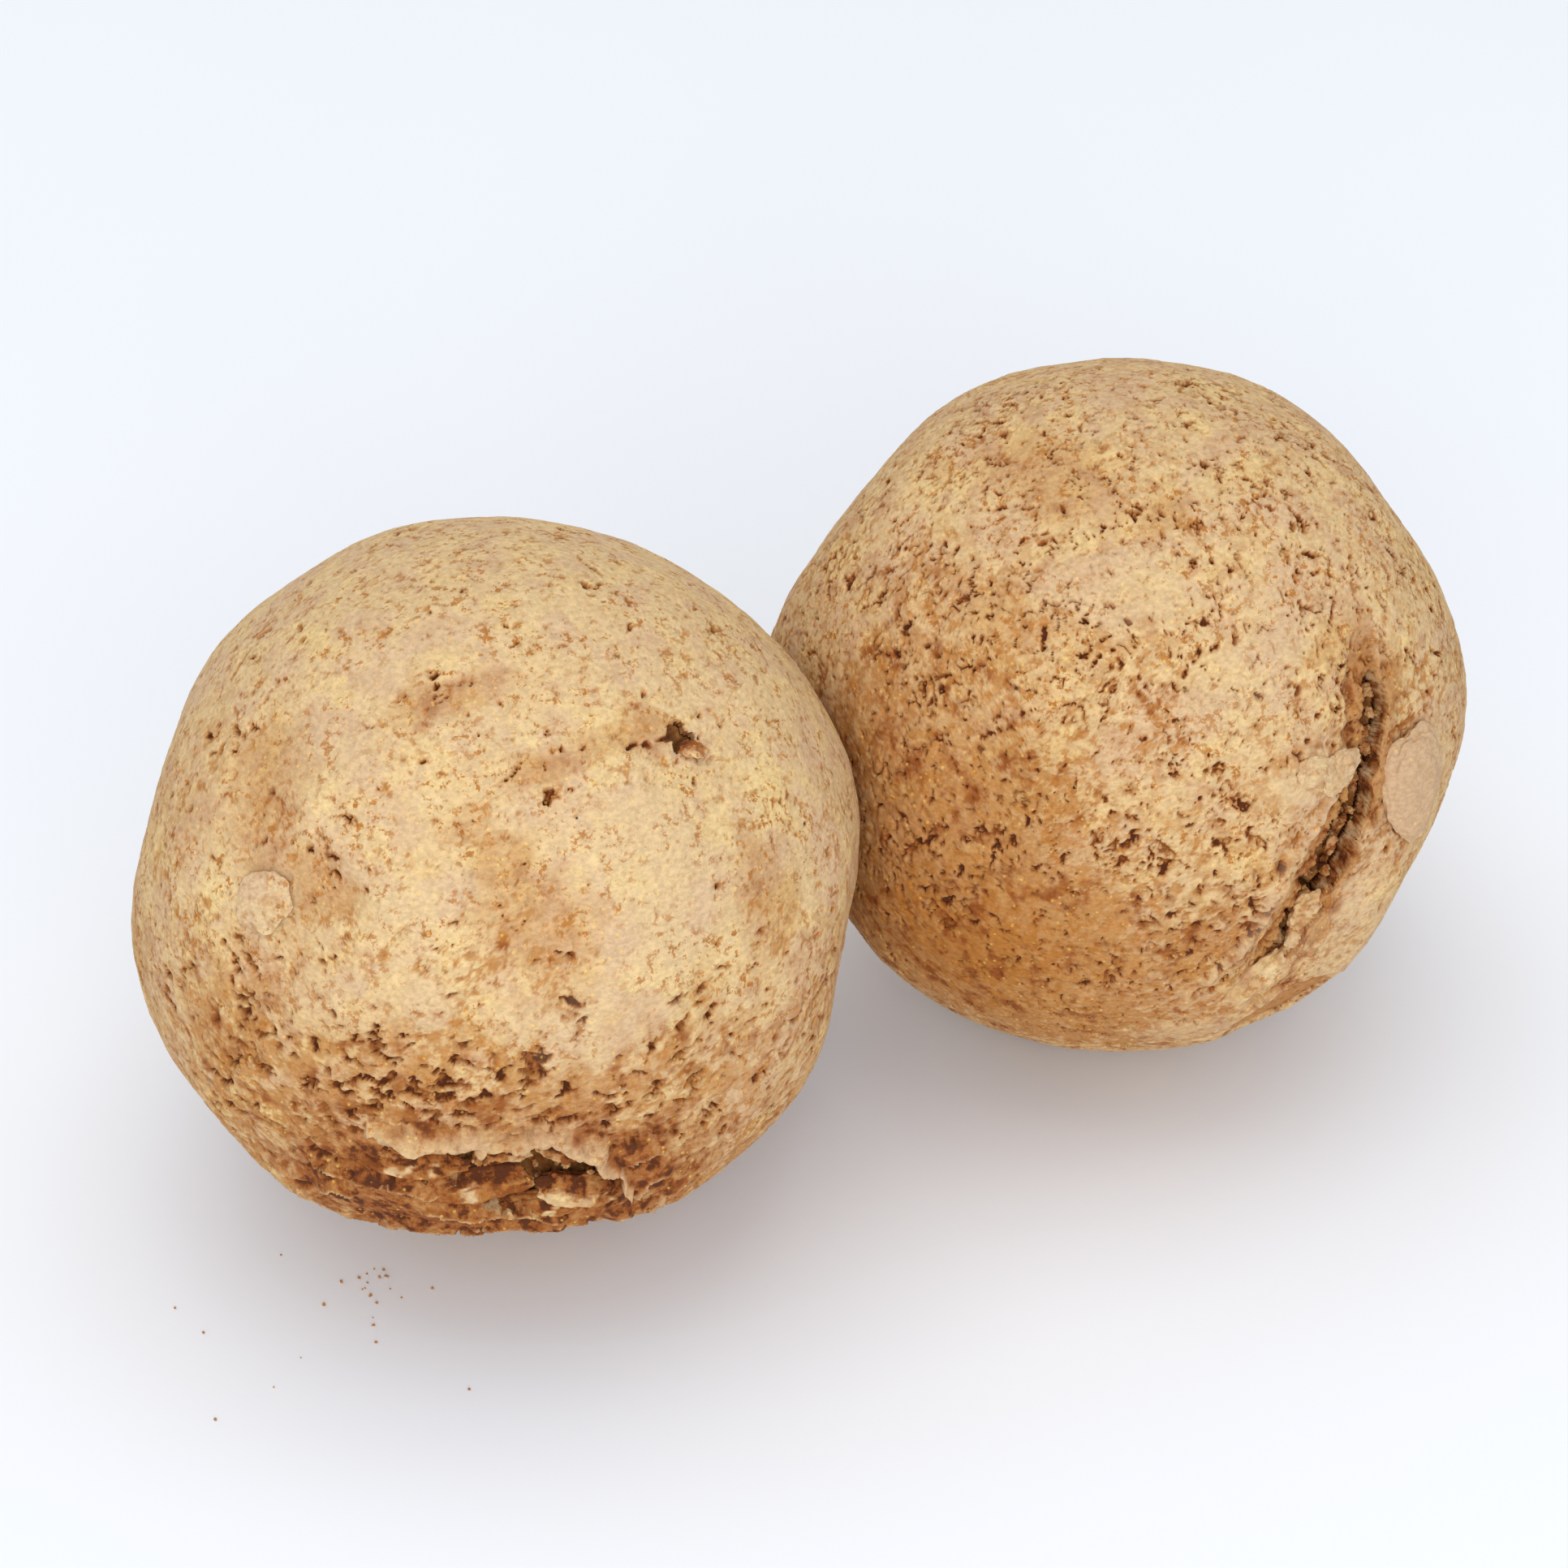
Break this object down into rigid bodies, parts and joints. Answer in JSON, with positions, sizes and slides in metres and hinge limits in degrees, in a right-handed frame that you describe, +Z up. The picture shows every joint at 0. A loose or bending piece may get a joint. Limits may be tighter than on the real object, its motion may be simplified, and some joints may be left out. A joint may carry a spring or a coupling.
{
  "type": "herbal compress ball",
  "caption": "Loose hand-pressed herbal compress balls of dried herb powder side by side, each a coarse core in a thin burnished rind with a torn gather and a small flat foot.",
  "frame": {"origin": "centre of the front ball's flat foot, on the surface that both balls stand on", "axes": "+X runs from the front ball to the rear ball, +Z is up, and the torn gathers face -Y"},
  "size_m": [0.1298, 0.0664, 0.0653],
  "materials": {
    "burnished_herb_rind": "matt, dry, faintly burnished",
    "coarse_herb_core": "matt, coarse, crumbly",
    "herb_paste": "matt, crumbly",
    "smooth_herb_paste": "matt, smooth, powdery"
  },
  "bodies": {
    "front_ball": {"front_core": "coarse_herb_core", "front_rind": "burnished_herb_rind", "front_gather_folds": "herb_paste", "front_side_pat": "smooth_herb_paste", "front_nick_chip": "herb_paste"},
    "rear_ball": {"rear_core": "coarse_herb_core", "rear_rind": "burnished_herb_rind", "rear_gather_folds": "herb_paste", "rear_gather_flap": "smooth_herb_paste", "rear_gather_lip": "smooth_herb_paste", "rear_gather_crumbs": "herb_paste"}
  },
  "joints": [
    {"name": "rear_ball_lift", "type": "slide", "parent": "front_ball", "child": "rear_ball", "axis": [0, 0, 1], "range_m": [0, 0.07]}
  ]
}
